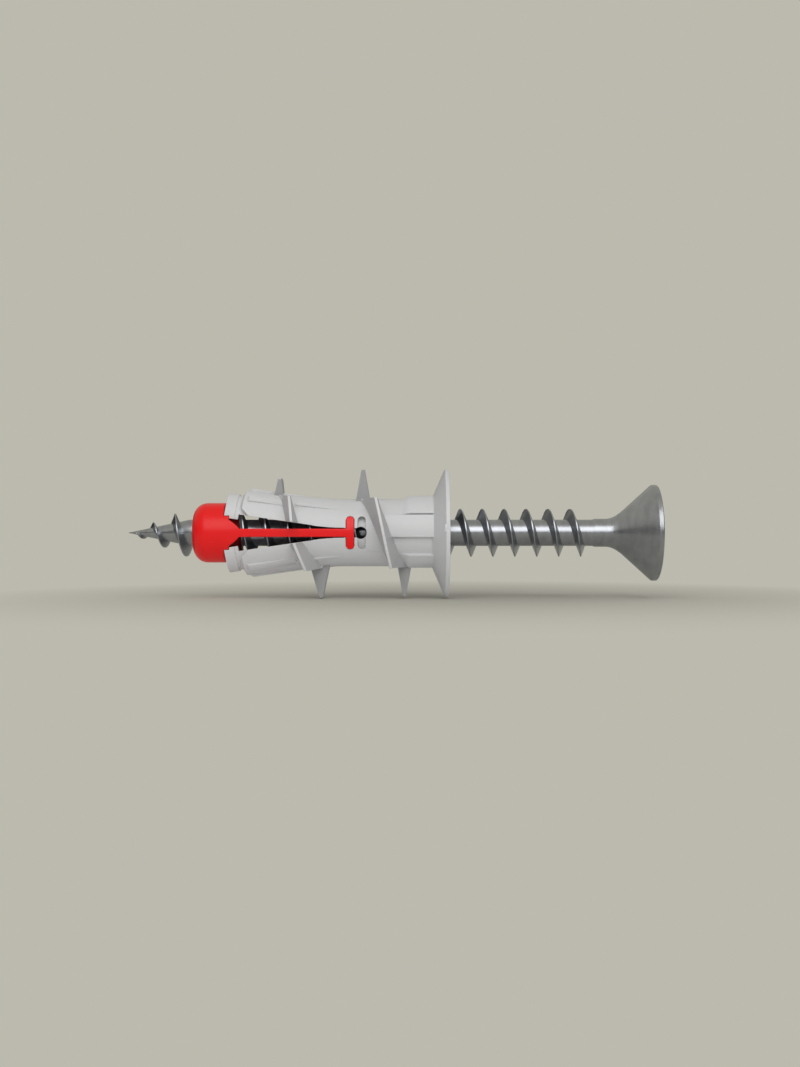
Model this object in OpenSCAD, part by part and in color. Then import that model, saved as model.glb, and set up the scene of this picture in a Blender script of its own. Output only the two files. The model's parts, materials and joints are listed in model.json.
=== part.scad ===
// Self-drilling plasterboard anchor, drawn as it sits when set: the screw is home
// and the two legs of the sleeve are spread behind the board.
// X runs along the screw, with +X toward its head, and Z is up. The origin is the
// centre of the flange's outer face, on which the fixture bears. All in millimetres.

/* [Sleeve tube] */
// Outer radius of the tube
body_r = 3.8; // [3.65:0.05:4.05]
// Radial clearance round the screw's thread, in the bore and in the cap
thread_clear = 0.05; // [0.03:0.01:0.1]
// Radius of the flange
flange_r = 7.2; // [6:0.1:8]
// Thickness of the flange's rim
flange_rim = 0.44; // [0.3:0.02:0.8]
// Length of the cone behind the rim
flange_cone = 1.46; // [1:0.02:1.8]
// Rounding of the rim's outer edge
flange_round = 0.1; // [0.05:0.01:0.14]

/* [Collar behind the flange] */
// Distance from the flange face to the front end of the collar's ribs
collar_len = 5.5; // [4.5:0.1:6.5]
// Length of the ramp at the front of each rib
collar_ramp = 1.1; // [0.6:0.1:1.6]
// Height of the ribs over the tube
collar_rise = 0.4; // [0.2:0.05:0.5]
// Distance from the flange face to the front end of the long side ribs
side_rib_len = 7.6; // [7.4:0.1:7.9]
// Length of the ramp at the front of each side rib
side_rib_ramp = 0.35; // [0.2:0.05:0.5]

/* [Drive recess for setting] */
// Span of the cross recess in the flange face
drive_span = 6.7; // [6.2:0.1:7]
// Width of one arm of the cross
drive_w = 1.15; // [0.8:0.05:1.4]
// Depth of the cross recess
drive_depth = 4.5; // [3:0.5:6]

/* [Spread legs] */
// Distance from the flange face to the start of the bend
bend_start = 11.7; // [11.6:0.1:12.5]
// Radius of the bend, on the tube's axis
bend_r = 25; // [20:1:32]
// Angle by which each leg is spread
spread = 8.3; // [7.8:0.1:8.6]
// Length of the straight part of a leg
leg_len = 9.97; // [9.85:0.01:10.1]
// Radius of the leg's shoulder, where the taper ends
leg_front_r = 3.42; // [3.2:0.02:3.6]
// Width of the slot between the legs
slot_w = 1.04; // [1:0.02:1.2]
// Length of the bead at the tip of a leg
bead_len = 1.16; // [0.9:0.02:1.3]
// Radius of the bead
bead_r = 2.84; // [2.78:0.02:3]
// Length of the groove behind the bead
groove_len = 0.41; // [0.3:0.01:0.5]
// Depth of the groove below the bead
groove_depth = 0.14; // [0.08:0.01:0.2]
// Length of the chamfer from the groove up to the shoulder
shoulder_len = 0.34; // [0.2:0.02:0.5]
// Length of the corner cut back from the shoulder beside the slot
corner_cut = 1.25; // [0.8:0.05:1.5]

/* [Ribs on the legs] */
// Angle between neighbouring ribs
leg_rib_step = 45; // [35:1:50]
// Width of a rib
leg_rib_w = 0.72; // [0.5:0.02:1]
// Height of a rib at the shoulder, from where it dies out toward the bend
leg_rib_h = 0.3; // [0.15:0.01:0.32]
// Length of the ramp at the front of a rib
leg_rib_ramp = 0.3; // [0.2:0.05:0.5]

/* [Cutting blade] */
// Crest radius of the blade on the tube
blade_r = 7.22; // [6.6:0.02:7.4]
// Crest radius where the blade reaches the lower leg
blade_leg_r = 7; // [6.6:0.02:7.2]
// Crest radius where the blade starts, on the upper leg
blade_start_r = 5.36; // [5:0.02:6]
// Lead of the blade
blade_pitch = 9.35; // [9:0.05:9.6]
// Distance from the flange face to the last crest on the upper side
blade_x = 9.66; // [9.4:0.02:9.9]
// Growth of the blade's spacing over the bend
bend_stretch = 0.7; // [0.4:0.05:0.9]
// Width of the crest
blade_tip_w = 0.32; // [0.2:0.02:0.5]
// Slope of the flanks
blade_flank = 10.5; // [8:0.5:12]
// Slope of the flanks of the broad fin on the lower leg
broad_flank = 14.3; // [12:0.1:16]
// Lean of the fins on the legs toward the tip
fin_lean = 5.5; // [0:0.5:8]
// Length of a fin across the part
fin_len = 2.6; // [2.2:0.1:3.4]
// Height of the step between a fin and its ridge above the tube
ledge_rise = 0.08; // [0.05:0.01:0.15]
// Angle over which the blade runs in and out
blade_run = 72; // [50:1:80]

/* [Arm seats in the tube] */
// Distance from the flange face to the middle of the round window
window_x = 9.86; // [9.7:0.02:10]
// Radius of the window
window_r = 0.68; // [0.6:0.01:0.75]
// Depth of the seats for the arms' ends
seat_depth = 0.68; // [0.5:0.02:0.75]
// Distance from the flange face to the middle of the empty seat
spare_seat_x = 9.75; // [9.7:0.01:9.85]
// Clearance between an arm and the sleeve
arm_clear = 0.04; // [0.03:0.01:0.05]

/* [Tip cap] */
// Radius of the cap
cap_r = 3.375; // [3.3:0.025:3.5]
// Length of the cap's round body
cap_len = 3.65; // [3.2:0.05:4.2]
// Rounding of the cap's nose
cap_nose = 1.6; // [1.2:0.05:1.7]
// Gap between the cap and the ends of the legs
cap_gap = 0.04; // [0.03:0.01:0.08]
// Radius of the hub between the legs
hub_r = 2.95; // [2.9:0.01:3]
// Length of the hub's straight part
hub_len = 0.55; // [0.4:0.05:0.7]
// Length of the hub's cone
hub_cone = 1.3; // [1:0.05:1.5]
// Radius of the hub's end
hub_end_r = 1.85; // [1.75:0.05:2]
// Width of an arm
arm_w = 0.92; // [0.8:0.02:0.94]
// Half height of the root of an arm
root_h = 1.88; // [1.7:0.02:1.95]
// Length of the root's straight edge
root_len = 0.6; // [0.4:0.02:0.8]
// Step down from the root's straight edge to its taper
root_step = 0.42; // [0.3:0.02:0.5]
// Length of the root's taper
root_taper = 1.2; // [1:0.05:1.4]
// Length of the bar across the end of an arm, measured across it
bar_span = 3.65; // [3:0.05:4]
// Width of the bar
bar_w = 0.9; // [0.8:0.02:0.94]
// Distance from the flange face to the middle of the bar
bar_x = 11.04; // [11:0.01:11.08]

/* [Screw] */
// Length of the screw
screw_len = 60; // [58:1:62]
// Distance from the flange face to the screw's end face
head_x = 23.6; // [22:0.1:25]
// Radius of the head
head_r = 5.44; // [5.2:0.02:5.6]
// Thickness of the head's rim
head_rim = 0.6; // [0.3:0.05:0.8]
// Radius at which the countersink turns into the fillet under the head
neck_r = 2.7; // [2.5:0.05:3]
// Length of the countersink
sink_len = 3; // [2.6:0.1:3.2]
// Length of the fillet under the head
neck_len = 2.15; // [1.6:0.05:2.4]
// Radius of the plain shank
shank_r = 1.59; // [1.55:0.01:1.8]
// Length of the plain shank
shank_len = 1.55; // [1:0.05:3]
// Core radius of the thread
core_r = 1.49; // [1.4:0.01:1.52]
// Crest radius of the thread
thread_r = 2.72; // [2.6:0.01:2.74]
// Pitch of the thread
thread_pitch = 2.49; // [2.2:0.01:2.8]
// Width of the thread's crest
crest_w = 0.12; // [0.08:0.01:0.2]
// Slope of the thread's flanks
thread_flank = 19; // [15:1:22]
// Distance from the flange face to a crest on the upper side
thread_x = 1.35; // [0:0.01:2.5]
// Length of the point
point_len = 7; // [6:0.1:8]
// Plain end of the point, in front of the first crest
point_plain = 1; // [0.6:0.05:1.5]
// Rise of the crest for each millimetre along the point
point_rise = 0.407; // [0.36:0.001:0.45]

/* [Recess in the screw head] */
// Span across the lobes
lobe_span = 4.43; // [4:0.01:4.8]
// Span across the hollows between the lobes
lobe_waist = 3.2; // [3:0.01:3.4]
// Radius of a lobe's end
lobe_r = 0.42; // [0.35:0.01:0.5]
// Depth of the recess
lobe_depth = 2.6; // [2:0.1:3]

/* [Hidden] */
$fn = 96;

// Reach of a cut past a surface, its reach where there is room round the part, depth by
// which joined pieces enter each other, and step by which a piece stands back from the
// surface of the one that it grows from
eps = 0.05;
margin = 1;
joint = 0.5;
inset = 0.03;

// Sleeve
bore_r = thread_r + thread_clear;
half_slot = slot_w / 2;
bend_gap = half_slot + inset;
leg_gap = bend_gap + inset;
rib_top_r = body_r + collar_rise;
flange_len = flange_rim + flange_cone;
bend_len = bend_r * spread * PI / 180;
leg_start = bend_start + bend_len;
leg_end = leg_start + leg_len;
groove_front = leg_end - bead_len;
groove_back = groove_front - groove_len;
shoulder = groove_back - shoulder_len;
groove_r = bead_r - groove_depth;
rib_front = shoulder - leg_rib_ramp;
leg_rib_angle = leg_rib_w / leg_front_r * 180 / PI;

// Collar ribs, as angles from the top. The top one spans both sides, the others are
// mirrored, and the side ones run on along the tube, into the blade on the near side
top_rib_half = 58.5;
side_rib = [61, 96.5];
low_rib = [127, 160];

// Share of the flange's cone at which its hollow curve turns, and rise of the corner cut
// on a leg for each millimetre of its length
cone_bow = 0.45;
corner_rise = 0.8;

// The cap stands off the furthest points of the legs' ends once they are spread
cap_back = bend_start + bend_r * sin(spread) + leg_len * cos(spread) + cap_gap;

// Blade: angle 0 is the last crest on the upper side, and it grows toward the screw head
ledge = body_r + ledge_rise;
blade_step = 5;
crest_half = blade_tip_w / 2;
ridge_setback = 0.12;
// Angle past the top at which the ridge of the far side joins that of the near side
blade_joint = blade_step / 2;

// Cap
cap_front = cap_back + cap_len;
hub_turn = cap_back - hub_len;
hub_end = hub_turn - hub_cone;
root_back = cap_back - root_len;
taper_back = root_back - root_taper;
bar_front = bar_x + bar_w / 2;
seat_r = body_r - seat_depth;
// Share of the root's taper at which its curve turns, and its drop by there
taper_bow = 0.58;
taper_drop = 0.42;

// Screw
tip_x = head_x - screw_len;
sink_x = head_x - head_rim;
neck_x = sink_x - sink_len;
shank_x = neck_x - neck_len;
thread_end = shank_x - shank_len;
thread_run = thread_pitch / 2;
// Share of the core's radius at which the thread's section starts inside it
core_under = 0.75;
thread_step = 15;
// Cone from the thread's core up to the shank, share of the neck at which its fillet
// turns, and the broken edges of the head
shank_cone = 0.3;
neck_bow = 0.44;
head_edge = 0.08;
// Radius of the hollows between the lobes, and the pit drilled at the recess's bottom
hollow_r = lobe_span / 5;
pit_len = 0.6;
pit_end_r = 0.2;
pit_r = lobe_waist / 2 - 0.15;

// Turns a shape drawn along Z so that it lies along X
module along_x() {
    rotate([0, 90, 0]) children();
}

// A solid of revolution about X, from a profile of [radius, x] points
module turned(profile) {
    along_x() rotate_extrude() polygon(profile);
}

// The same over a sector, between two angles measured from the top toward the near side
module turned_sector(from, to, profile) {
    along_x() rotate([0, 0, 180 + from]) rotate_extrude(angle = to - from) polygon(profile);
}

// A closed skin over a list of rings, each with the same number of points
module skin(rings) {
    m = len(rings[0]);
    last = (len(rings) - 1) * m;
    sides = [for (j = [0:len(rings) - 2], k = [0:m - 1])
        let (p = j * m + k, q = j * m + (k + 1) % m)
        each [[p, q, q + m], [p, q + m, p + m]]];
    start_cap = [for (k = [m - 1:-1:0]) k];
    end_cap = [for (k = [0:m - 1]) last + k];
    polyhedron([for (ring = rings) each ring], concat([start_cap], sides, [end_cap]));
}

// One section of a helical ridge, at an angle from the top toward the near side
function ridge_ring(a, x, r_in, r_out, half_in, half_out) = [
    for (p = [[-half_in, r_in], [-half_out, r_out], [half_out, r_out], [half_in, r_in]])
        [x + p[0], -p[1] * sin(a), p[1] * cos(a)]
];

// Points on a quadratic curve from a to c that leaves toward b
function curve(a, b, c, steps) = [
    for (i = [0:steps])
        let (t = i / steps)
        (1 - t) * (1 - t) * a + 2 * t * (1 - t) * b + t * t * c
];

// Points on an arc in a profile of [radius, x] points
function round_edge(centre, r, from, to, steps) = [
    for (i = [0:steps])
        let (t = from + (to - from) * i / steps)
        centre + r * [cos(t), sin(t)]
];

// Length of bend passed at a distance from the flange face
function arc_at(x) = min(max(x - bend_start, 0), bend_len);

// Radius of the tube or of the tapered leg at a distance from the flange face
function leg_radius(x) =
    body_r - inset - (body_r - inset - leg_front_r) * max(0, x - leg_start) / (shoulder - leg_start);

// Carries a shape drawn on the straight, unbent tube to where the spread leg holds it.
// side is 1 for the upper leg and -1 for the lower one
module on_leg(side, x) {
    arc = arc_at(x);
    translate([-bend_start, 0, side * bend_r])
        rotate([0, side * arc / bend_r * 180 / PI, 0])
            translate([bend_start + arc, 0, -side * bend_r])
                children();
}

// A slab across the tube between two heights, on one side of the axis
module slab(side, low, high, front, back) {
    span = 2 * (blade_r + margin);
    base = side > 0 ? low : -high;
    translate([-front, -span / 2, base]) cube([front - back, span, high - low]);
}

// Crest radius of the blade: it grows over the legs and is full on the tube
function blade_crest(a) =
    a < -360 ? blade_start_r - (blade_start_r - leg_front_r + joint) * (-360 - a) / blade_run
    : a < -180 ? blade_start_r + (blade_leg_r - blade_start_r) * (a + 360) / 180
    : a <= 180 ? blade_r
    : blade_r - (blade_r - body_r + joint) * (a - 180) / blade_run;

// Slope of the blade's flanks: broadest at the lower leg
function blade_slope(a) =
    a < -180 ? blade_flank + (broad_flank - blade_flank) * max(0, a + 360) / 180
    : a < 0 ? broad_flank + (blade_flank - broad_flank) * (a + 180) / 180
    : blade_flank;

// Distance of the blade from the flange face, on the unbent tube
function blade_at(a) = blade_x - blade_pitch * a / 360 + bend_stretch * min(1, max(0, -a / 180));

// Half width of the blade at a radius
function blade_half(a, r) = crest_half + (blade_crest(a) - r) * tan(blade_slope(a));

// A stretch of the blade's ridge between two angles, on the unbent tube
module ridge(from, to) {
    steps = ceil((to - from) / blade_step);
    r_in = leg_front_r - joint;
    skin([for (i = [0:steps])
        let (a = from + (to - from) * i / steps, r_out = blade_crest(a))
        ridge_ring(a, -blade_at(a), r_in, r_out, blade_half(a, r_in), crest_half)]);
}

// A ridge on one leg, cut back to the slot and to the step under its fin
module leg_ridge(side, from, to, station) {
    on_leg(side, station) intersection() {
        ridge(from, to);
        slab(side, half_slot + ridge_setback, leg_radius(station) + ledge_rise, leg_end, collar_len);
    }
}

// A fin: a short tooth of the blade's section on top of the tube or under it, with a flat
// end on each side and its foot sunk into the wall
module fin(side, a, lean) {
    x = blade_at(a);
    crest = blade_crest(a);
    wall = leg_radius(x);
    foot = wall - joint;
    top = crest + joint / 2;
    on_leg(side, x) intersection() {
        mirror([0, 0, side > 0 ? 0 : 1]) translate([-x, 0, wall]) rotate([0, -lean, 0]) rotate([90, 0, 0])
            linear_extrude(height = fin_len, center = true) polygon([
                [-blade_half(a, foot) + inset, foot - wall],
                [blade_half(a, foot) - inset, foot - wall],
                [blade_half(a, top), top - wall],
                [-blade_half(a, top), top - wall]
            ]);
        translate([-x, 0, 0]) along_x() cylinder(r = crest, h = blade_pitch, center = true);
    }
}

module blade() {
    // upper leg: the blade starts on the far side, and its first ridge crosses both legs
    leg_ridge(1, -360 - blade_run, -360, leg_end);
    fin(1, -360, fin_lean);
    leg_ridge(1, -360, -270 + blade_step, leg_end);
    leg_ridge(-1, -270 - blade_step, -180, leg_start);
    fin(-1, -180, fin_lean);
    // far side: from the lower leg back to the top of the tube, through the bend
    leg_ridge(-1, -180, -90 + blade_step, bend_start + bend_len / 2);
    leg_ridge(1, -90 - blade_step, blade_joint, bend_start);
    fin(1, 0, 0);
    // near side of the tube, then out on the far side
    intersection() {
        ridge(blade_joint, 180 + blade_run);
        translate([0, 0, -ledge]) slab(1, 0, 2 * ledge, leg_end, 0);
    }
    fin(-1, 180, 0);
}

// Bead, groove, shoulder and tapered body of a leg, as one turned shape
module leg_turning() {
    turned([
        [0, -leg_end],
        [bead_r, -leg_end],
        [bead_r, -groove_front],
        [groove_r, -groove_front],
        [groove_r, -groove_back],
        [leg_front_r, -shoulder],
        [leg_radius(leg_start), -leg_start],
        [leg_radius(leg_start), -leg_start + joint],
        [0, -leg_start + joint]
    ]);
}

// The ribs along the straight part of a leg
module leg_ribs(side) {
    base = leg_front_r - joint;
    for (step = [-1:1]) {
        middle = step * leg_rib_step + (side > 0 ? 0 : 180);
        turned_sector(middle - leg_rib_angle / 2, middle + leg_rib_angle / 2, [
            [base, -rib_front],
            [leg_radius(rib_front) - eps, -rib_front],
            [leg_front_r + leg_rib_h, -rib_front + leg_rib_ramp],
            [leg_front_r + leg_rib_h, -leg_start],
            [base, -leg_start]
        ]);
    }
}

// One straight leg, drawn unbent. The collars at its tip meet the other leg's, behind
// them the slot starts, and its corners at the shoulder are cut back
module leg(side) {
    on_leg(side, leg_end) {
        difference() {
            union() {
                intersection() {
                    leg_turning();
                    slab(side, 0, body_r + margin, leg_end + margin, bend_start);
                }
                leg_ribs(side);
            }
            slab(side, -margin, leg_gap, groove_back, bend_start);
            leg_corners(side);
        }
    }
}

// The corners beside the slot, down to the groove's depth
module leg_corners(side) {
    difference() {
        rotate([90, 0, 0]) linear_extrude(height = 2 * (body_r + margin), center = true) polygon([
            [-groove_back - eps, 0],
            [-groove_back + corner_cut, side * (leg_gap - eps)],
            [-groove_back - eps, side * (leg_gap + corner_cut * corner_rise)]
        ]);
        along_x() cylinder(r = groove_r, h = 4 * leg_end, center = true);
    }
}

// Half of the tube's section in the bend: across is the distance from the bend's centre
module bend_section() {
    intersection() {
        translate([bend_r, 0]) circle(r = body_r);
        translate([bend_r - body_r - margin, -body_r - margin])
            square([body_r + margin - bend_gap, 2 * (body_r + margin)]);
    }
}

// The bent stretch of the upper leg, turned about the bend's centre above it
module bend() {
    translate([-bend_start, 0, bend_r]) rotate([90, 90, 180]) rotate_extrude(angle = spread) bend_section();
}

// A raised rib of the collar between two angles, ramped at its front end
module collar_rib(from, to, len, ramp) {
    turned_sector(from, to, [
        [body_r - joint, -len],
        [body_r - eps, -len],
        [rib_top_r, -len + ramp],
        [rib_top_r, -flange_rim],
        [body_r - joint, -flange_rim]
    ]);
}

module collar() {
    collar_rib(-top_rib_half, top_rib_half, collar_len, collar_ramp);
    collar_rib(side_rib[0], side_rib[1], side_rib_len, side_rib_ramp);
    collar_rib(-side_rib[1], -side_rib[0], side_rib_len, side_rib_ramp);
    collar_rib(low_rib[0], low_rib[1], collar_len, collar_ramp);
    collar_rib(-low_rib[1], -low_rib[0], collar_len, collar_ramp);
}

// Tube and flange, with a hollow cone behind the rim
module tube_and_flange() {
    turned(concat(
        [[0, 0], [flange_r - flange_round, 0]],
        round_edge([flange_r - flange_round, -flange_round], flange_round, 90, 0, 4),
        curve([flange_r, -flange_rim], [body_r + flange_len, -flange_rim - flange_cone * cone_bow], [body_r, -flange_len], 6),
        [[body_r, -bend_start], [0, -bend_start]]
    ));
}

// A bar with round ends, across the tube on both sides, down to a radius
module cross_bar(x, width, span, floor_r) {
    difference() {
        translate([-x, 0, 0]) rotate([90, 0, 0]) linear_extrude(height = 2 * (body_r + margin), center = true) union() {
            square([width, span - width], center = true);
            for (end = [-1, 1]) translate([0, end * (span - width) / 2]) circle(d = width);
        }
        translate([-x, 0, 0]) along_x() cylinder(r = floor_r, h = 2 * width, center = true);
    }
}

// Bore, slot, windows and seats cut in the sleeve
module sleeve_cuts() {
    translate([-leg_end - margin, 0, 0]) along_x() cylinder(r = bore_r, h = leg_end + 2 * margin);
    // room for the hub between the legs' tips
    hub_room = hub_r + thread_clear;
    taper = (hub_r - hub_end_r) / hub_cone;
    turned([
        [0, -leg_end - margin],
        [hub_room, -leg_end - margin],
        [hub_room, -hub_turn + eps],
        [bore_r - eps, -hub_turn + eps + (hub_room - bore_r + eps) / taper],
        [0, -hub_turn + eps + (hub_room - bore_r + eps) / taper]
    ]);
    // slot in the tube, up to the round windows
    translate([-bend_start - joint / 2, -body_r - margin, -half_slot])
        cube([bend_start + joint / 2 - window_x, 2 * (body_r + margin), slot_w]);
    translate([-window_x, 0, 0]) rotate([90, 0, 0]) cylinder(r = window_r, h = 2 * (body_r + margin), center = true);
    // seats: one holds the arms' bars, the next is empty
    cross_bar(bar_x, bar_w + 2 * arm_clear, bar_span + 2 * arm_clear, seat_r);
    cross_bar(spare_seat_x, bar_w, bar_span, seat_r);
    // room for the roots of the arms between the legs' tips
    translate([-leg_end - margin, -body_r, -root_h - arm_clear])
        cube([leg_end + margin - root_back + arm_clear, 2 * body_r, 2 * (root_h + arm_clear)]);
    // cross recess for the setting tool
    for (turn = [0, 90]) rotate([turn, 0, 0])
        translate([-drive_depth, -drive_w / 2, -drive_span / 2]) cube([drive_depth + margin, drive_w, drive_span]);
}

module anchor_sleeve() {
    color("#d7d9d8") difference() {
        union() {
            tube_and_flange();
            collar();
            bend();
            mirror([0, 0, 1]) bend();
            leg(1);
            leg(-1);
            blade();
        }
        sleeve_cuts();
    }
}

// Outline of an arm from above its root to its bar, in X and Z
function arm_outline() = let (
    half = arm_w / 2,
    edge = concat(
        [[-cap_back - joint, root_h], [-root_back, root_h]],
        curve(
            [-root_back, root_h - root_step],
            [-root_back + root_taper * taper_bow, root_h - root_step - taper_drop],
            [-taper_back, half],
            6
        ),
        [[-bar_x, half]]
    )
) concat(edge, [for (i = [len(edge) - 1:-1:0]) [edge[i][0], -edge[i][1]]]);

// Both arms: an outline cut straight through a thin tapered shell
module arms() {
    intersection() {
        rotate([90, 0, 0]) linear_extrude(height = 2 * (body_r + margin), center = true) polygon(arm_outline());
        turned([
            [hub_r - eps, -cap_back - joint],
            [cap_r - eps, -cap_back - joint],
            [cap_r, -cap_back],
            [body_r, -bar_front],
            [body_r, -bar_x],
            [seat_r + arm_clear, -bar_x],
            [seat_r + arm_clear, -bar_front],
            [hub_r - eps, -bar_front - joint]
        ]);
    }
    intersection() {
        cross_bar(bar_x, bar_w, bar_span, seat_r + arm_clear);
        translate([-bar_x, 0, 0]) along_x() cylinder(r = body_r, h = 2 * bar_w, center = true);
    }
}

// The round body of the cap, with its hub behind
module cap_body() {
    turned(concat(
        [[0, -cap_front], [cap_r - cap_nose, -cap_front]],
        round_edge([cap_r - cap_nose, -cap_front + cap_nose], cap_nose, -90, 0, 12),
        [
            [cap_r, -cap_back],
            [hub_r, -cap_back],
            [hub_r, -hub_turn],
            [hub_end_r, -hub_end],
            [0, -hub_end]
        ]
    ));
}

module tip_cap() {
    color("#e11e1e") difference() {
        union() {
            cap_body();
            arms();
        }
        translate([-cap_front - margin, 0, 0]) along_x()
            cylinder(r = core_r + thread_clear, h = cap_front - hub_end + 2 * margin);
        thread(-cap_front - thread_pitch, -hub_end + thread_pitch, thread_clear);
    }
}

// Crest and core radius of the screw at a place along it
function crest_at(x) = min(
    thread_r,
    point_rise * (x - tip_x),
    core_r * core_under + (thread_r - core_r * core_under) * max(0, thread_end - x) / thread_run
);
function core_at(x) = min(core_r, core_r * (x - tip_x) / point_len);

// The thread between two places, with room added all round
module thread(from, to, room) {
    first = ceil((from - thread_x) / thread_pitch * 360 / thread_step);
    last = floor((to - thread_x) / thread_pitch * 360 / thread_step);
    skin([for (i = [first:last])
        let (
            a = i * thread_step,
            x = thread_x + thread_pitch * a / 360,
            r_in = core_at(x) * core_under,
            r_out = crest_at(x) + room,
            half = crest_w / 2 + room
        )
        ridge_ring(a, x, r_in, r_out, half + max(0, r_out - r_in) * tan(thread_flank), half)]);
}

// Six round lobes about a waisted core
module lobe_outline() {
    difference() {
        union() {
            circle(r = lobe_span / 2 - lobe_r);
            for (i = [0:5]) rotate(60 * i) translate([lobe_span / 2 - lobe_r, 0]) circle(r = lobe_r);
        }
        for (i = [0:5]) rotate(60 * i + 30) translate([lobe_waist / 2 + hollow_r, 0]) circle(r = hollow_r);
    }
}

module countersunk_screw() {
    color("#9aa3ad") difference() {
        union() {
            turned(concat(
                [[0, tip_x], [core_r, tip_x + point_len], [core_r, thread_end]],
                [[shank_r, thread_end + shank_cone]],
                curve([shank_r, shank_x], [shank_r, shank_x + neck_len * neck_bow], [neck_r, neck_x], 8),
                [[head_r - head_edge / 2, sink_x], [head_r, sink_x + head_edge]],
                [[head_r, head_x - head_edge], [head_r - head_edge, head_x], [0, head_x]]
            ));
            thread(tip_x + point_plain, thread_end, 0);
        }
        translate([head_x - lobe_depth, 0, 0]) along_x() linear_extrude(height = lobe_depth + margin) lobe_outline();
        translate([head_x - lobe_depth - pit_len, 0, 0]) along_x()
            cylinder(r1 = pit_end_r, r2 = pit_r, h = pit_len + eps);
    }
}

anchor_sleeve();
tip_cap();
countersunk_screw();
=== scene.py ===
"""Dresses the self-drilling plasterboard anchor for a studio picture.

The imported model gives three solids: the nylon sleeve, the red tip cap and the screw.
Each gets a finished piece that keeps its form: the mouldings get the soft edges that a
mould leaves, and the screw a cleanly shaded thread. Pieces are shaped on a bench where
one unit is a millimetre, and then brought back to metres.
"""

from __future__ import annotations

import json
import logging
import math
from dataclasses import dataclass, field
from enum import Enum
from typing import Callable

import bmesh
import bpy
from mathutils import Matrix, Vector
from mathutils.bvhtree import BVHTree

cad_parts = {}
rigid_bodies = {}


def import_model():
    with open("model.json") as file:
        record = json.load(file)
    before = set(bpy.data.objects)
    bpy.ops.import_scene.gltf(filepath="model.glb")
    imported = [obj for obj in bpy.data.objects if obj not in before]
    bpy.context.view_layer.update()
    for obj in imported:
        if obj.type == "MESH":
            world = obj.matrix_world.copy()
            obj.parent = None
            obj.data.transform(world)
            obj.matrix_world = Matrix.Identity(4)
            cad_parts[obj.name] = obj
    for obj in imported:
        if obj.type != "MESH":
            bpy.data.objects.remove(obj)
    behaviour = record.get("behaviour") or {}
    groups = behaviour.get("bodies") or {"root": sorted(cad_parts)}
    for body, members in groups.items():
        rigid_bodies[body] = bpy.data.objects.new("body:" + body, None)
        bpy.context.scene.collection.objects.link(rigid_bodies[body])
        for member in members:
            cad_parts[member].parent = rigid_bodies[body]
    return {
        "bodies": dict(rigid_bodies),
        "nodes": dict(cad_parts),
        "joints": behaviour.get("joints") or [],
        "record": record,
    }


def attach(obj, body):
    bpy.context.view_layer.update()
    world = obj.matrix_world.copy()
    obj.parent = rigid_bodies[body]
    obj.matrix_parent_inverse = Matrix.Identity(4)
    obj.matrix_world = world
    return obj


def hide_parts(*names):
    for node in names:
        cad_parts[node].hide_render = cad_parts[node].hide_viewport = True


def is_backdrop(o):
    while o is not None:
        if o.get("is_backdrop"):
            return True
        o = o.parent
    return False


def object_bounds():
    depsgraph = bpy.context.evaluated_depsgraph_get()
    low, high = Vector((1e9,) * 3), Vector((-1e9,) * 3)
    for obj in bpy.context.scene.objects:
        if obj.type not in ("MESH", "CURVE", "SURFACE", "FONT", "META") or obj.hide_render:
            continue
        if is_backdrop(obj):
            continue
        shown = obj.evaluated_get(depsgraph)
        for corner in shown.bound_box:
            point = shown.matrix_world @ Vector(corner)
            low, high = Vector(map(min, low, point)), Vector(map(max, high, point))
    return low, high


LOG = logging.getLogger("anchor")

# The one body, on which every piece rides
BODY = "root"
# A millimetre, in metres
MM = 0.001
# Corners nearer than this are merged, in millimetres
WELD_REACH = 0.0005
# Faces that turn by less than this are one flat face
FLAT_DEG = 0.8
# Flat steps across a rounded edge
EDGE_STEPS = 3
# Least width of a face whose edge is rounded, as a share of the rounding's width
THIN_SHARE = 0.8
# How far past the angle of the rounded edges the shading turns sharp
SHADE_MARGIN_DEG = 5.0
# Share of a normal along one axis from which the face counts as facing that way
CREST_SLOPE = 0.5
# Attribute that marks where shade is painted into the colour
PAINTED_SHADE_ATTRIBUTE = "painted_shade_mask"
# Cells a metre of the drift between two tints, and of the grain
CLOUD_SCALE = 120.0
GRAIN_SCALE = 9000.0
# Levels of detail in each
CLOUD_DETAIL = 3.0
GRAIN_DETAIL = 2.0
# Sockets of a Mix node that is set to colours
MIX_FACTOR = 0
MIX_FIRST = 6
MIX_SECOND = 7
MIX_RESULT = 2
# Factors that leave a place's height out
ON_THE_FLOOR = (1.0, 1.0, 0.0)
# Sides of the round stage pieces
ROUND_SIDES = 96
WHITE = (1.0, 1.0, 1.0, 1.0)


class CadNode(str, Enum):
    """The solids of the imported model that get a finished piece."""

    SLEEVE = "anchor_sleeve"
    CAP = "tip_cap"
    SCREW = "countersunk_screw"


class Slot(str, Enum):
    """The record's material slots."""

    NYLON = "grey_nylon"
    RED = "red_plastic"
    ZINC = "zinc_steel"


# Bench work


def pick_only(piece: bpy.types.Object) -> None:
    """Make one object the only selected and the active one.

    Args:
        piece: The object that the next operators act on.
    """
    bpy.ops.object.select_all(action="DESELECT")
    piece.select_set(True)
    bpy.context.view_layer.objects.active = piece


def apply_all(piece: bpy.types.Object) -> None:
    """Apply every modifier of a piece in order.

    Args:
        piece: The object whose modifiers are applied.
    """
    pick_only(piece)
    for modifier in list(piece.modifiers):
        bpy.ops.object.modifier_apply(modifier=modifier.name)


def scale_mesh(piece: bpy.types.Object, factor: float) -> None:
    """Scale the mesh of a piece about the origin, and leave its object unscaled."""
    piece.data.transform(Matrix.Scale(factor, 4))
    piece.data.update()


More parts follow.
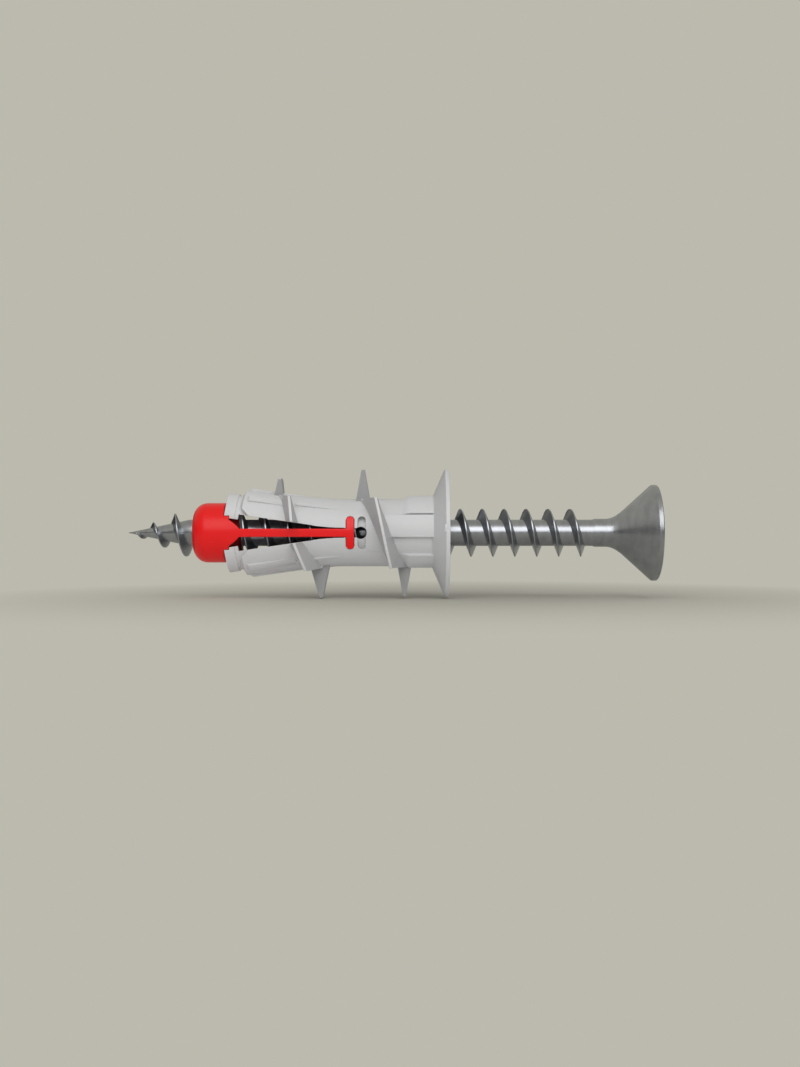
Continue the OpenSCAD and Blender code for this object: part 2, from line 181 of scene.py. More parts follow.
def copy_to_bench(node: bpy.types.Object, name: str) -> bpy.types.Object:
    """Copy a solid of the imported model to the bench, merged and in millimetres.

    Args:
        node: The solid as loaded, which stays as it is.
        name: The name of the copy.

    Returns:
        The copy, with its loose triangles merged into closed shells.
    """
    mesh = node.data.copy()
    mesh.name = name
    mesh.materials.clear()
    copy = bpy.data.objects.new(name, mesh)
    bpy.context.scene.collection.objects.link(copy)
    scale_mesh(copy, 1.0 / MM)
    if mesh.has_custom_normals:
        pick_only(copy)
        bpy.ops.mesh.customdata_custom_splitnormals_clear()
    weld = copy.modifiers.new("weld", "WELD")
    weld.merge_threshold = WELD_REACH
    apply_all(copy)
    return copy


def shade(piece: bpy.types.Object, angle_deg: float) -> None:
    """Shade a piece smooth, but for edges sharper than an angle in degrees."""
    pick_only(piece)
    bpy.ops.object.shade_smooth_by_angle(angle=math.radians(angle_deg))


def round_edges(piece: bpy.types.Object, width: float, angle_deg: float) -> None:
    """Merge the flat faces of a copy, and round its sharp edges as a mould does.

    The rounding isn't clamped, because one tight corner would then stop it on the whole
    piece. The corners that it throws off the surface are put back.

    Args:
        piece: The copy on the bench, in millimetres.
        width: Width of the rounding.
        angle_deg: The angle in degrees from which an edge is rounded.
    """
    surface = BVHTree.FromObject(piece, bpy.context.evaluated_depsgraph_get())
    flats = piece.modifiers.new("flats", "DECIMATE")
    flats.decimate_type = "DISSOLVE"
    flats.angle_limit = math.radians(FLAT_DEG)
    apply_all(piece)
    choose_edges(piece, width, angle_deg)
    edges = piece.modifiers.new("edges", "BEVEL")
    edges.width = width
    edges.segments = EDGE_STEPS
    edges.limit_method = "WEIGHT"
    edges.use_clamp_overlap = False
    edges.miter_outer = "MITER_SHARP"
    apply_all(piece)
    settle(piece, surface, width / 2.0)
    shade(piece, angle_deg + SHADE_MARGIN_DEG)
    even = piece.modifiers.new("even", "WEIGHTED_NORMAL")
    even.keep_sharp = True
    apply_all(piece)


def choose_edges(piece: bpy.types.Object, width: float, angle_deg: float) -> None:
    """Weight the edges to round: the sharp ones between faces that are wide enough.

    A long face is about as wide as twice its area over its perimeter.

    Args:
        piece: The copy with its flats merged.
        width: Width of the rounding.
        angle_deg: The angle in degrees from which an edge is rounded.
    """
    shell = bmesh.new()
    shell.from_mesh(piece.data)
    weight = shell.edges.layers.float.new("bevel_weight_edge")
    least = width * THIN_SHARE
    wide = [2.0 * face.calc_area() > least * face.calc_perimeter() for face in shell.faces]
    for edge in shell.edges:
        sharp = edge.calc_face_angle(0.0) > math.radians(angle_deg)
        edge[weight] = 1.0 if sharp and all(wide[face.index] for face in edge.link_faces) else 0.0
    shell.to_mesh(piece.data)
    shell.free()


def settle(piece: bpy.types.Object, surface: BVHTree, reach: float) -> None:
    """Put corners that the rounding threw off back on the surface they came from.

    Args:
        piece: The rounded copy.
        surface: The surface before the rounding.
        reach: The farthest that a rounded corner lies from that surface.
    """
    stray = 0
    for vertex in piece.data.vertices:
        nearest, _normal, _index, distance = surface.find_nearest(vertex.co)
        if distance > reach:
            vertex.co = nearest
            stray += 1
    piece.data.update()
    LOG.info("%s: %d corners put back", piece.name, stray)


def dress(piece: bpy.types.Object, material: bpy.types.Material) -> None:
    """Bring a finished piece back to metres and give it its finish.

    Args:
        piece: The finished piece in millimetres.
        material: The finish.
    """
    scale_mesh(piece, MM)
    piece.data.materials.clear()
    piece.data.materials.append(material)


def bring_back(
    piece: bpy.types.Object, node: CadNode, slot: Slot, material: bpy.types.Material
) -> None:
    """Dress a finished piece and let it stand for its solid.

    Args:
        piece: The finished piece in millimetres.
        node: The solid that it stands for.
        slot: The record's slot that its finish belongs to; not used.
        material: The finish.
    """
    dress(piece, material)
    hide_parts(node.value)
    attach(piece, BODY)


def add_trim(piece: bpy.types.Object, slot: Slot, material: bpy.types.Material) -> None:
    """Dress a finished piece that stands for no solid, and let it ride.

    Args:
        piece: The finished piece in millimetres.
        slot: The record's slot that its finish belongs to; not used.
        material: The finish.
    """
    dress(piece, material)
    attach(piece, BODY)


def mark_faces(piece: bpy.types.Object, painted_shade_share: Callable[[Vector, Vector], float]) -> None:
    """Note how much shade is painted into each face of a piece, for its finish to read.

    Args:
        piece: The piece on the bench, in millimetres.
        painted_shade_share: Gives the share of painted shade, from 0 to 1, for a face's centre and
            normal.
    """
    marks = [painted_shade_share(face.center, face.normal) for face in piece.data.polygons]
    mark = piece.data.attributes.new(PAINTED_SHADE_ATTRIBUTE, "FLOAT", "FACE")
    mark.data.foreach_set("value", marks)
    painted_darker = sum(share > 0.0 for share in marks)
    LOG.info("%s: %d of %d faces are duller", piece.name, painted_darker, len(marks))


def turn_out(piece: bpy.types.Object) -> None:
    """Turn the faces of a closed shell outwards.

    Args:
        piece: The piece.
    """
    pick_only(piece)
    bpy.ops.object.mode_set(mode="EDIT")
    bpy.ops.mesh.select_all(action="SELECT")
    bpy.ops.mesh.normals_make_consistent(inside=False)
    bpy.ops.object.mode_set(mode="OBJECT")


# Finishes


def link(
    tree: bpy.types.NodeTree, source: bpy.types.NodeSocket, target: bpy.types.NodeSocket
) -> None:
    """Join two sockets."""
    tree.links.new(source, target)


def surface_variation() -> bpy.types.NodeTree:
    """Build the group that varies a surface at two scales.

    Returns:
        A group with inputs Broad and Fine, the scales in cells a metre, and Stretch, by
        which the places are multiplied. Its outputs are Cloud, a soft mask over the
        piece, and Grain, a fine height.
    """
    group = bpy.data.node_groups.new("surface_variation", "ShaderNodeTree")
    face = group.interface
    for name, cells in (("Broad", CLOUD_SCALE), ("Fine", GRAIN_SCALE)):
        scale = face.new_socket(name, in_out="INPUT", socket_type="NodeSocketFloat")
        scale.default_value = cells
    stretch = face.new_socket("Stretch", in_out="INPUT", socket_type="NodeSocketVector")
    stretch.default_value = (1.0, 1.0, 1.0)
    face.new_socket("Cloud", in_out="OUTPUT", socket_type="NodeSocketFloat")
    face.new_socket("Grain", in_out="OUTPUT", socket_type="NodeSocketFloat")
    inlet = group.nodes.new("NodeGroupInput")
    outlet = group.nodes.new("NodeGroupOutput")
    place = group.nodes.new("ShaderNodeTexCoord")
    drawn = group.nodes.new("ShaderNodeVectorMath")
    drawn.operation = "MULTIPLY"
    link(group, place.outputs["Object"], drawn.inputs[0])
    link(group, inlet.outputs["Stretch"], drawn.inputs[1])
    for source, target, detail in (("Broad", "Cloud", CLOUD_DETAIL), ("Fine", "Grain", GRAIN_DETAIL)):
        noise = group.nodes.new("ShaderNodeTexNoise")
        noise.inputs["Detail"].default_value = detail
        link(group, drawn.outputs["Vector"], noise.inputs["Vector"])
        link(group, inlet.outputs[source], noise.inputs["Scale"])
        link(group, noise.outputs["Fac"], outlet.inputs[target])
    return group


@dataclass(frozen=True)
class Finish:
    """A surface finish: two close tints, a roughness range and a fine grain.

    Attributes:
        name: Name of the material.
        tint: Main colour.
        second_tint: The colour that the surface drifts to.
        roughness: Lowest and highest roughness.
        metallic: 1 for metal.
        cloud_scale: Cells a metre of the drift between the tints.
        grain_scale: Grain cells a metre.
        grain_depth: Height of the grain in metres.
        ior: Index of refraction.
        subsurface: Weight of the light that enters and scatters.
        scatter: How far its red, green and blue parts go, as shares of the depth.
        scatter_depth: That depth, in metres.
        stretch: Factors on the places that the tints and the grain are looked up at.
        mark: Name of the attribute that marks where shade is painted in, if there is one.
        marked: Share of the colour that is left where shade is painted in.
    """

    name: str
    tint: tuple[float, float, float]
    second_tint: tuple[float, float, float]
    roughness: tuple[float, float]
    metallic: float = 0.0
    cloud_scale: float = CLOUD_SCALE
    grain_scale: float = GRAIN_SCALE
    grain_depth: float = 4e-6
    ior: float = 1.5
    subsurface: float = 0.0
    scatter: tuple[float, float, float] = (0.6, 0.5, 0.4)
    scatter_depth: float = 0.5 * MM
    stretch: tuple[float, float, float] = (1.0, 1.0, 1.0)
    mark: str = ""
    marked: float = 1.0

    def material(self, variation: bpy.types.NodeTree) -> bpy.types.Material:
        """Build the material.

        Args:
            variation: The group that varies the surface.

        Returns:
            The material, with its constants on the shader's own sockets.
        """
        material = bpy.data.materials.new(self.name)
        material.use_nodes = True
        tree = material.node_tree
        shader = tree.nodes["Principled BSDF"]
        shader.inputs["Metallic"].default_value = self.metallic
        shader.inputs["IOR"].default_value = self.ior
        shader.inputs["Subsurface Weight"].default_value = self.subsurface
        shader.inputs["Subsurface Radius"].default_value = self.scatter
        shader.inputs["Subsurface Scale"].default_value = self.scatter_depth
        vary = tree.nodes.new("ShaderNodeGroup")
        vary.node_tree = variation
        vary.inputs["Broad"].default_value = self.cloud_scale
        vary.inputs["Fine"].default_value = self.grain_scale
        vary.inputs["Stretch"].default_value = self.stretch

        colour = tree.nodes.new("ShaderNodeMix")
        colour.data_type = "RGBA"
        colour.inputs[MIX_FIRST].default_value = (*self.tint, 1.0)
        colour.inputs[MIX_SECOND].default_value = (*self.second_tint, 1.0)
        link(tree, vary.outputs["Cloud"], colour.inputs[MIX_FACTOR])
        link(tree, self.painted_darker(tree, colour.outputs[MIX_RESULT]), shader.inputs["Base Color"])

        gloss = tree.nodes.new("ShaderNodeMapRange")
        gloss.inputs["To Min"].default_value = self.roughness[0]
        gloss.inputs["To Max"].default_value = self.roughness[1]
        link(tree, vary.outputs["Cloud"], gloss.inputs["Value"])
        link(tree, gloss.outputs["Result"], shader.inputs["Roughness"])

        bump = tree.nodes.new("ShaderNodeBump")
        bump.inputs["Distance"].default_value = self.grain_depth
        link(tree, vary.outputs["Grain"], bump.inputs["Height"])
        link(tree, bump.outputs["Normal"], shader.inputs["Normal"])
        return material

    def painted_darker(self, tree: bpy.types.NodeTree, colour: bpy.types.NodeSocket) -> bpy.types.NodeSocket:
        """Darken a colour where the piece is marked, which paints shade into it.

        Args:
            tree: The material's nodes.
            colour: The colour of plain skin.

        Returns:
            The colour with shade painted on its marked faces, or as it was if nothing is marked.
        """
        if not self.mark:
            return colour
        mark = tree.nodes.new("ShaderNodeAttribute")
        mark.attribute_name = self.mark
        share = tree.nodes.new("ShaderNodeMapRange")
        share.inputs["To Min"].default_value = 1.0
        share.inputs["To Max"].default_value = self.marked
        link(tree, mark.outputs["Fac"], share.inputs["Value"])
        darker = tree.nodes.new("ShaderNodeVectorMath")
        darker.operation = "SCALE"
        link(tree, colour, darker.inputs[0])
        link(tree, share.outputs["Result"], darker.inputs["Scale"])
        return darker.outputs["Vector"]


NYLON = Finish(
    name="grey_nylon_moulded",
    tint=(0.60, 0.60, 0.60),
    second_tint=(0.66, 0.66, 0.66),
    roughness=(0.42, 0.52),
    grain_depth=3e-6,
    ior=1.53,
    subsurface=0.15,
    mark=PAINTED_SHADE_ATTRIBUTE,
    # The fins' ends and the blade's flanks keep this share of their colour, as painted shade
    marked=0.52,
)
RED = Finish(
    name="red_plastic_glossy",
    tint=(0.82, 0.004, 0.005),
    second_tint=(0.88, 0.006, 0.007),
    roughness=(0.30, 0.38),
    grain_depth=1e-6,
    ior=1.40,
    mark=PAINTED_SHADE_ATTRIBUTE,
    # The hub between the legs keeps this share of its colour, as painted shade
    marked=0.18,
)
ZINC = Finish(
    name="zinc_plated_steel",
    tint=(0.28, 0.295, 0.33),
    second_tint=(0.50, 0.515, 0.55),
    roughness=(0.24, 0.40),
    metallic=1.0,
    cloud_scale=1600.0,
    grain_scale=5000.0,
    grain_depth=6e-6,
    stretch=(1.0, 0.4, 0.4),
)


# Sub-assemblies


@dataclass(frozen=True)
class Station:
    """Where a face lies once the sleeve is thought straight.

    Attributes:
        station: Distance from the flange face along the sleeve, in millimetres.
        height: Height over the sleeve's axis, in millimetres.
        slope: Share of the face's normal that points along the sleeve.
    """

    station: float
    height: float
    slope: float


@dataclass(frozen=True)
class SpreadAxis:
    """The sleeve's centre line: straight in the tube, then bent out along each leg.

    Attributes:
        bend_start: Distance from the flange face to the start of the bend.
        bend_radius: Radius of the bend.
        spread_deg: Angle by which each leg is spread.
        tube_r: Outer radius of the tube.
        shoulder: Distance from the flange face to a leg's shoulder, measured along it.
        shoulder_r: Radius of the leg there.
    """

    bend_start: float = 11.7
    bend_radius: float = 25.0
    spread_deg: float = 8.3
    tube_r: float = 3.8
    shoulder: float = 23.4
    shoulder_r: float = 3.42

    @property
    def leg_start(self) -> float:
        """Distance from the flange face to the end of the bend."""
        return self.bend_start + self.bend_radius * math.radians(self.spread_deg)

    def radius_at(self, station: float) -> float:
        """Give the radius of the tube or leg at a station."""
        share = (station - self.leg_start) / (self.shoulder - self.leg_start)
        return self.tube_r - (self.tube_r - self.shoulder_r) * min(max(share, 0.0), 1.0)

    def straighten(self, point: Vector, normal: Vector) -> Station:
        """Carry a place on a spread leg back to the unbent tube.

        Args:
            point: The place, in millimetres.
            normal: The surface's normal there.

        Returns:
            Its station, height and slope.
        """
        side = 1.0 if point.z > 0.0 else -1.0
        along = point.x + self.bend_start
        below = side * point.z - self.bend_radius
        turn = min(max(math.atan2(-along, -below), 0.0), math.radians(self.spread_deg))
        back = along * math.cos(turn) - below * math.sin(turn)
        height = along * math.sin(turn) + below * math.cos(turn) + self.bend_radius
        slope = normal.x * math.cos(turn) - side * normal.z * math.sin(turn)
        return Station(self.bend_start + self.bend_radius * turn - back, height, slope)

    def spread(self, station: float, across: float, height: float, side: float) -> Vector:
        """Carry a place on the unbent tube to where the spread leg holds it.

        Args:
            station: Distance from the flange face along the sleeve.
            across: Distance from the axis away from the camera.
            height: Height over the axis.
            side: 1 for the upper leg and -1 for the lower one.

        Returns:
            The place, in millimetres.
        """
        past = max(station - self.bend_start, 0.0)
        turn = min(past / self.bend_radius, math.radians(self.spread_deg))
        back = self.bend_start + self.bend_radius * turn - station
        below = height - self.bend_radius
        along = back * math.cos(turn) + below * math.sin(turn)
        up = -back * math.sin(turn) + below * math.cos(turn) + self.bend_radius
        return Vector((along - self.bend_start, across, side * up))


@dataclass
class SleeveMoulding:
    """The nylon sleeve as one moulding: flange, collar, blade and spread legs.

    Attributes:
        edge: Width of the rounded edges, in millimetres.
        crease_deg: The angle from which an edge is rounded.
        axis: The centre line.
        blade_from: Distance from the flange face to the start of the blade, along the sleeve.
        blade_to: Distance from the flange face to the blade's end.
        fin_root: How far below the wall's radius a fin's end starts.
        foot_height: Height over the wall from which shade is painted on the blade's flank.
        fin_half: Half of a fin's length across the sleeve.
        flank_share: How much shade is painted on the flanks, as a share of the fins' ends.
    """

    edge: float = 0.04
    crease_deg: float = 30.0
    axis: SpreadAxis = SpreadAxis()
    blade_from: float = 2.4
    blade_to: float = 22.6
    fin_root: float = 0.5
    foot_height: float = 0.25
    fin_half: float = 1.3
    flank_share: float = 0.55

    def painted_shade_share(self, centre: Vector, normal: Vector) -> float:
        """Say how much shade is painted on a face: the fins' ends most, the blade's flanks less.

        Args:
            centre: The face's centre, in millimetres.
            normal: The face's normal.

        Returns:
            A share from 0 on plain skin to 1.
        """
        place = self.axis.straighten(centre, normal)
        wall = self.axis.radius_at(place.station)
        if not self.blade_from < place.station < self.blade_to:
            return 0.0
        at_end = abs(abs(centre.y) - self.fin_half) < self.edge and abs(normal.y) > CREST_SLOPE
        if at_end and place.height > wall - self.fin_root:
            return 1.0
        on_blade = math.hypot(centre.y, place.height) > wall + self.foot_height
        return self.flank_share if on_blade and abs(place.slope) > CREST_SLOPE else 0.0

    def build(self, frame: dict, material: bpy.types.Material) -> bpy.types.Object:
        """Make the moulded sleeve.

        Args:
            frame: The loaded model.
            material: The finish of the nylon.

        Returns:
            The finished piece.
        """
        piece = copy_to_bench(frame["nodes"][CadNode.SLEEVE.value], "sleeve_moulding")
        round_edges(piece, self.edge, self.crease_deg)
        mark_faces(piece, self.painted_shade_share)
        bring_back(piece, CadNode.SLEEVE, Slot.NYLON, material)
        return piece


@dataclass(frozen=True)
class RibEnd:
    """One section of a fading rib.

    Attributes:
        station: Distance from the flange face along the sleeve, in millimetres.
        rise: Height over the tube.
        width: Width over the tube.
    """

    station: float
    rise: float
    width: float


@dataclass
class BendRibs:
    """The ribs of the legs as they fade out over the bend, a quarter turn apart.

    Attributes:
        axis: The sleeve's centre line.
        start: The section on the leg.
        end: The section on the tube, where the rib has sunk in.
        root: How deep a rib stands in the wall, in millimetres.
        angle_deg: Turn of a rib from the upper or lower side.
        steps: Straight steps along a rib.
        shoulder: Width of a rib's top, as a share of its foot.
        crease_deg: The angle from which an edge is shaded sharp.
    """

    axis: SpreadAxis = SpreadAxis()
    start: RibEnd = RibEnd(17.6, 0.20, 0.60)
    end: RibEnd = RibEnd(10.4, -0.05, 0.10)
    root: float = 0.3
    angle_deg: float = 45.0
    steps: int = 24
    shoulder: float = 0.72
    crease_deg: float = 30.0

    def section(self, share: float, across: int, side: float) -> list[Vector]:
        """Give the corners of a rib's section.

        Args:
            share: Place along the rib, from 0 on the leg to 1 on the tube.
            across: 1 on the far side and -1 on the near side.
            side: 1 for the upper leg and -1 for the lower one.

        Returns:
            Four corners in millimetres.
        """
        station = self.start.station + (self.end.station - self.start.station) * share
        rise = self.start.rise + (self.end.rise - self.start.rise) * share
        half = (self.start.width + (self.end.width - self.start.width) * share) / 2.0
        radius = self.axis.radius_at(station)
        top = half * self.shoulder
        ring = []
        for offset, height in ((-half, -self.root), (-top, rise), (top, rise), (half, -self.root)):
            angle = math.radians(self.angle_deg) + offset / radius
            reach = radius + height
            out = across * reach * math.sin(angle)
            ring.append(self.axis.spread(station, out, reach * math.cos(angle), side))
        return ring

    def build(self, material: bpy.types.Material) -> list[bpy.types.Object]:
        """Make the four ribs.

        Args:
            material: The finish of the nylon.

        Returns:
            The finished pieces.
        """
        pieces = []
        shares = [step / self.steps for step in range(self.steps + 1)]
        for side, level in ((1.0, "upper"), (-1.0, "lower")):
            for across, reach in ((-1, "near"), (1, "far")):
                rings = [self.section(share, across, side) for share in shares]
                pieces.append(self.loft(f"bend_rib_{level}_{reach}", rings, material))
        return pieces

    def loft(
        self, name: str, rings: list[list[Vector]], material: bpy.types.Material
    ) -> bpy.types.Object:
        """Skin a list of sections as one closed shell.

        Args:
            name: Name of the piece.
            rings: The sections, with as many corners each.
            material: The finish of the nylon.

        Returns:
            The finished piece.
        """
        count = len(rings[0])
        faces = [list(range(count)), [len(rings) * count - 1 - corner for corner in range(count)]]
        for ring in range(len(rings) - 1):
            for corner in range(count):
                first = ring * count + corner
                second = ring * count + (corner + 1) % count
                faces.append([first, second, second + count, first + count])
        mesh = bpy.data.meshes.new(name)
        mesh.from_pydata([corner for ring in rings for corner in ring], [], faces)
        piece = bpy.data.objects.new(name, mesh)
        bpy.context.scene.collection.objects.link(piece)
        turn_out(piece)
        shade(piece, self.crease_deg)
        add_trim(piece, Slot.NYLON, material)
        return piece


@dataclass
class GateNub:
    """The small stub that the gate leaves on the flange's rim.

    Attributes:
        place: Its centre, in millimetres.
        size: Its size, in millimetres.
        edge: Width of its rounded edges, in millimetres.
        crease_deg: The angle from which an edge is shaded sharp.
    """

    place: tuple[float, float, float] = (-0.40, -6.88, 0.50)
    size: tuple[float, float, float] = (0.50, 0.60, 0.90)
    edge: float = 0.12
    crease_deg: float = 40.0

    def build(self, material: bpy.types.Material) -> bpy.types.Object:
        """Make the stub.

        Args:
            material: The finish of the nylon.

        Returns:
            The finished piece.
        """
        bpy.ops.mesh.primitive_cube_add(size=1.0)
        piece = bpy.context.active_object
        piece.name = "gate_nub"
        piece.data.transform(Matrix.LocRotScale(Vector(self.place), None, Vector(self.size)))
        edges = piece.modifiers.new("edges", "BEVEL")
        edges.width = self.edge
        edges.segments = EDGE_STEPS
        apply_all(piece)
        shade(piece, self.crease_deg)
        add_trim(piece, Slot.NYLON, material)
        return piece


@dataclass
class TipCapMoulding:
    """The red cap with its two arms and their bars.

    Attributes:
        edge: Width of the rounded edges, in millimetres.
        crease_deg: The angle from which an edge is rounded.
        back: Distance from the flange face to the back of the round cap.
        arms_from: Distance from the axis at which the arms start.
    """

    edge: float = 0.08
    crease_deg: float = 30.0
    back: float = 25.2
    arms_from: float = 3.0

    def painted_shade_share(self, centre: Vector, _normal: Vector) -> float:
        """Give 1 on a face of the hub, which sits in shade between the legs and gets painted shade,
        and 0 elsewhere.
        """
        inside = math.hypot(centre.y, centre.z) < self.arms_from and centre.x > -self.back
        return 1.0 if inside else 0.0

    def build(self, frame: dict, material: bpy.types.Material) -> bpy.types.Object:
        """Make the moulded cap.

        Args:
            frame: The loaded model.
            material: The finish of the plastic.

        Returns:
            The finished piece.
        """
        piece = copy_to_bench(frame["nodes"][CadNode.CAP.value], "tip_cap_moulding")
        round_edges(piece, self.edge, self.crease_deg)
        mark_faces(piece, self.painted_shade_share)
        bring_back(piece, CadNode.CAP, Slot.RED, material)
        # Polished surfaces don't show the cap, or the thread beside it would turn red
        piece.visible_glossy = False
        return piece


@dataclass
class Screw:
    """The countersunk screw with its thread.

    Attributes:
        crease_deg: The angle from which an edge is shaded sharp.
    """

    crease_deg: float = 22.0

    def build(self, frame: dict, material: bpy.types.Material) -> bpy.types.Object:
        """Make the screw.

        Args:
            frame: The loaded model.
            material: The finish of the steel.

        Returns:
            The finished piece.
        """
        piece = copy_to_bench(frame["nodes"][CadNode.SCREW.value], "rolled_screw")
        shade(piece, self.crease_deg)
        bring_back(piece, CadNode.SCREW, Slot.ZINC, material)
        return piece


# Studio


@dataclass(frozen=True)
class Lamp:
    """One soft light.

    Attributes:
        name: Name of the lamp.
        place: Where it hangs, in millimetres.
        size: Width and height, in millimetres.
        power: Power in watts.
        mirrored: Whether polished surfaces show it.
    """

    name: str
    place: tuple[float, float, float]
    size: tuple[float, float]
    power: float
    mirrored: bool = True

    def hang(self, aim: Vector) -> None:
        """Hang the lamp and turn it to a point.

        Args:
            aim: The point that it lights, in metres.
        """
        light = bpy.data.lights.new(self.name, "AREA")
        light.shape = "RECTANGLE"
        light.size, light.size_y = (side * MM for side in self.size)
        light.energy = self.power
        lamp = bpy.data.objects.new(self.name, light)
        lamp.location = Vector(self.place) * MM
        lamp.rotation_euler = (aim - lamp.location).to_track_quat("-Z", "Y").to_euler()
        lamp.visible_camera = False
        lamp.visible_glossy = self.mirrored
        bpy.context.scene.collection.objects.link(lamp)


@dataclass
class Studio:
    """The camera, the pale floor and the soft light.

    Attributes:
        camera_at: Place of the camera, in millimetres.
        camera_tilt_deg: Tilt of the camera from straight down.
        lens: Focal length, in millimetres.
        sensor: Width of the sensor, in millimetres.
        clip: Nearest and farthest distance that the camera sees, in metres.
        backdrop: Colour that the camera sees behind the object.
        bounce: Colour of the light that the floor throws back.
        floor_roughness: Roughness of the floor.
        floor_specular: Strength of the floor's mirrored light.
        ambient: Strength of the light all round.
        belt: Radius, lower edge and upper edge of the dark belt, in millimetres.
        belt_colour: Colour of the dark belt.
        floor_reach: Radius of the floor, in millimetres.
        fade_from: Distance from the origin at which the floor starts to fade, in millimetres.
        fade_to: Distance from the origin at which it is all backdrop, in millimetres.
        aim: The point that the lamps light, in metres.
        lamps: The soft lights.
    """

    camera_at: tuple[float, float, float] = (-5.49, -159.0, -0.08)
    camera_tilt_deg: float = 90.0
    lens: float = 47.2
    sensor: float = 36.0
    clip: tuple[float, float] = (0.005, 50.0)
    backdrop: tuple[float, float, float] = (0.503, 0.491, 0.423)
    bounce: tuple[float, float, float] = (0.88, 0.88, 0.87)
    floor_roughness: float = 0.9
    floor_specular: float = 0.1
    ambient: float = 0.39
    belt: tuple[float, float, float] = (220.0, -8.0, 52.0)
    belt_colour: tuple[float, float, float] = (0.045, 0.05, 0.055)
    floor_reach: float = 3000.0
    fade_from: float = 14.0
    fade_to: float = 60.0
    aim: tuple[float, float, float] = (0.0, 0.0, 0.0)
    lamps: list[Lamp] = field(default_factory=lambda: [
        Lamp("key_softbox", (0.0, -75.0, 130.0), (160.0, 160.0), 0.034, mirrored=False),
        Lamp("strip_softbox", (0.0, -126.0, 81.0), (120.0, 110.0), 0.097),
    ])

    def camera(self) -> None:
        """Set up the camera at the photograph's viewing angle."""
        data = bpy.data.cameras.new("camera")
        data.lens = self.lens
        data.sensor_width = self.sensor
        data.clip_start, data.clip_end = self.clip
        camera = bpy.data.objects.new("camera", data)
        camera.location = Vector(self.camera_at) * MM
        camera.rotation_euler = (math.radians(self.camera_tilt_deg), 0.0, 0.0)
        bpy.context.scene.collection.objects.link(camera)
        bpy.context.scene.camera = camera

    def floor(self, height: float) -> None:
        """Lay the pale floor, which fades into the backdrop away from the object.

        Args:
            height: Height of the floor, in metres.
        """
        bpy.ops.object.select_all(action="DESELECT")
        bpy.ops.mesh.primitive_circle_add(
            vertices=ROUND_SIDES,
            radius=self.floor_reach * MM,
            fill_type="NGON",
            location=(0.0, 0.0, height),
        )
        floor = bpy.context.active_object
        floor.name = "studio_floor"
        floor.data.materials.append(self.floor_material())
        floor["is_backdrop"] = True

    def floor_material(self) -> bpy.types.Material:
        """Build the floor's material.

        Returns:
            A matt surface near the object, and the plain backdrop further off.
        """
        material = bpy.data.materials.new("studio_floor")
        material.use_nodes = True
        tree = material.node_tree
        shader = tree.nodes["Principled BSDF"]
        shader.inputs["Base Color"].default_value = (*self.backdrop, 1.0)
        shader.inputs["Roughness"].default_value = self.floor_roughness
        shader.inputs["Specular IOR Level"].default_value = self.floor_specular
        output = tree.nodes["Material Output"]
        bounce = tree.nodes.new("ShaderNodeBsdfDiffuse")
        bounce.inputs["Color"].default_value = (*self.bounce, 1.0)
        plain = tree.nodes.new("ShaderNodeEmission")
        plain.inputs["Color"].default_value = (*self.backdrop, 1.0)
        place = tree.nodes.new("ShaderNodeTexCoord")
        flat = tree.nodes.new("ShaderNodeVectorMath")
        flat.operation = "MULTIPLY"
        flat.inputs[1].default_value = ON_THE_FLOOR
        link(tree, place.outputs["Object"], flat.inputs[0])
        distance = tree.nodes.new("ShaderNodeVectorMath")
        distance.operation = "LENGTH"
        link(tree, flat.outputs["Vector"], distance.inputs[0])
        fade = tree.nodes.new("ShaderNodeMapRange")
        fade.inputs["From Min"].default_value = self.fade_from * MM
        fade.inputs["From Max"].default_value = self.fade_to * MM
        link(tree, distance.outputs["Value"], fade.inputs["Value"])
        ray = tree.nodes.new("ShaderNodeLightPath")
        seen = tree.nodes.new("ShaderNodeMath")
        seen.operation = "MAXIMUM"
        link(tree, ray.outputs["Is Camera Ray"], seen.inputs[0])
        link(tree, ray.outputs["Is Glossy Ray"], seen.inputs[1])
        share = tree.nodes.new("ShaderNodeMath")
        share.operation = "MULTIPLY"
        link(tree, seen.outputs["Value"], share.inputs[0])
        link(tree, fade.outputs["Result"], share.inputs[1])
        near = tree.nodes.new("ShaderNodeMixShader")
        link(tree, ray.outputs["Is Diffuse Ray"], near.inputs["Fac"])
        link(tree, shader.outputs["BSDF"], near.inputs[1])
        link(tree, bounce.outputs["BSDF"], near.inputs[2])
        mix = tree.nodes.new("ShaderNodeMixShader")
        link(tree, share.outputs["Value"], mix.inputs["Fac"])
        link(tree, near.outputs["Shader"], mix.inputs[1])
        link(tree, plain.outputs["Emission"], mix.inputs[2])
        link(tree, mix.outputs["Shader"], output.inputs["Surface"])
        return material

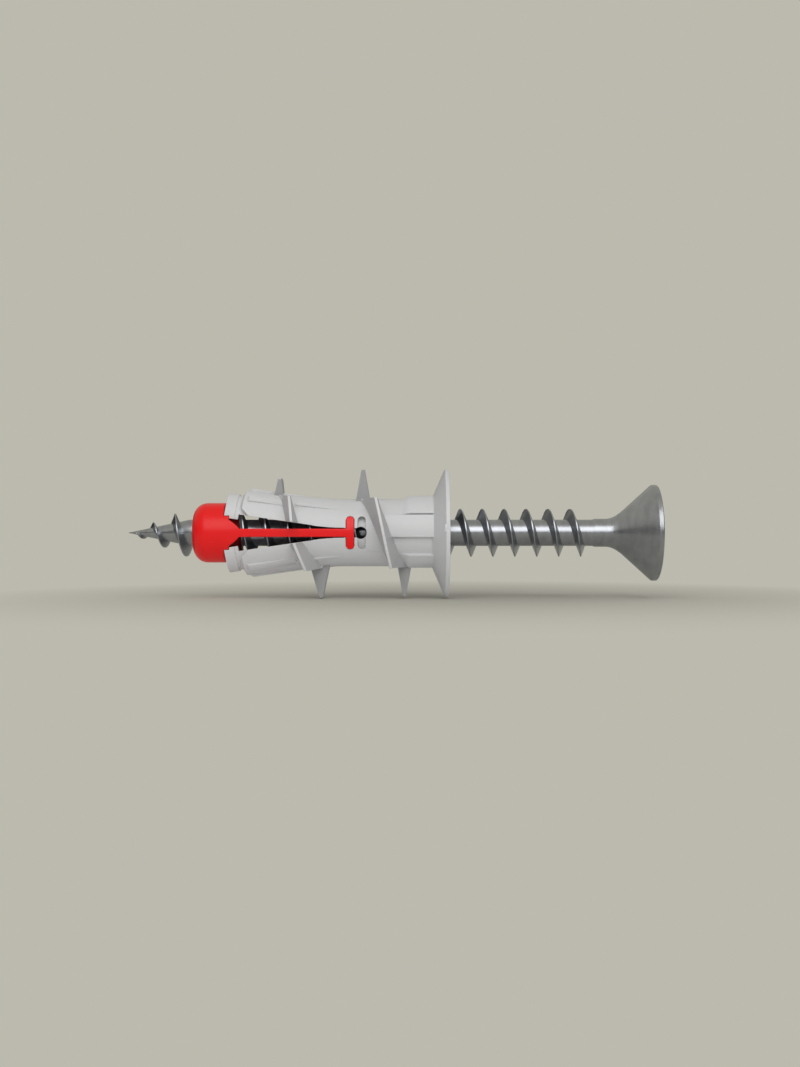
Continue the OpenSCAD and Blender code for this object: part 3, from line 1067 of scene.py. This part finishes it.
    def dark_belt(self) -> None:
        """Stand the dark belt round the object, which only its polished surfaces show."""
        radius, low, high = self.belt
        bpy.ops.object.select_all(action="DESELECT")
        bpy.ops.mesh.primitive_cylinder_add(
            vertices=ROUND_SIDES,
            radius=radius * MM,
            depth=(high - low) * MM,
            end_fill_type="NOTHING",
            location=(0.0, 0.0, (high + low) / 2.0 * MM),
        )
        belt = bpy.context.active_object
        belt.name = "dark_belt"
        material = bpy.data.materials.new("dark_belt")
        material.use_nodes = True
        shader = material.node_tree.nodes["Principled BSDF"]
        shader.inputs["Base Color"].default_value = (*self.belt_colour, 1.0)
        shader.inputs["Roughness"].default_value = 1.0
        belt.data.materials.append(material)
        belt.visible_camera = False
        belt.visible_diffuse = False
        belt.visible_shadow = False
        belt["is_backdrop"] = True

    def world(self) -> None:
        """Set the soft light all round, and the plain backdrop that the camera sees."""
        world = bpy.data.worlds.new("studio")
        bpy.context.scene.world = world
        world.use_nodes = True
        tree = world.node_tree
        around = tree.nodes["Background"]
        around.inputs["Color"].default_value = WHITE
        around.inputs["Strength"].default_value = self.ambient
        plain = tree.nodes.new("ShaderNodeBackground")
        plain.inputs["Color"].default_value = (*self.backdrop, 1.0)
        ray = tree.nodes.new("ShaderNodeLightPath")
        shown = ray.outputs["Is Camera Ray"]
        for kind in ("Is Glossy Ray", "Is Transmission Ray"):
            either = tree.nodes.new("ShaderNodeMath")
            either.operation = "MAXIMUM"
            link(tree, shown, either.inputs[0])
            link(tree, ray.outputs[kind], either.inputs[1])
            shown = either.outputs["Value"]
        mix = tree.nodes.new("ShaderNodeMixShader")
        link(tree, shown, mix.inputs["Fac"])
        link(tree, around.outputs["Background"], mix.inputs[1])
        link(tree, plain.outputs["Background"], mix.inputs[2])
        link(tree, mix.outputs["Shader"], tree.nodes["World Output"].inputs["Surface"])

    def set_up(self, low: float) -> None:
        """Set up the whole studio.

        Args:
            low: Height of the object's lowest point, in metres.
        """
        self.camera()
        self.floor(low)
        self.dark_belt()
        self.world()
        for lamp in self.lamps:
            lamp.hang(Vector(self.aim))
        bpy.context.scene.view_settings.view_transform = "Standard"


def main() -> None:
    """Load the model, build each piece and the studio."""
    logging.basicConfig(level=logging.INFO, format="%(name)s: %(message)s")
    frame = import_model()
    cad_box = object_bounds()
    variation = surface_variation()
    nylon = NYLON.material(variation)
    pieces = [
        SleeveMoulding().build(frame, nylon),
        *BendRibs().build(nylon),
        GateNub().build(nylon),
        TipCapMoulding().build(frame, RED.material(variation)),
        Screw().build(frame, ZINC.material(variation)),
    ]
    for piece in pieces:
        LOG.info("%s is in place: %d faces", piece.name, len(piece.data.polygons))
    Studio().set_up(min(corner[2] for corner in cad_box))


if __name__ == "__main__":
    main()
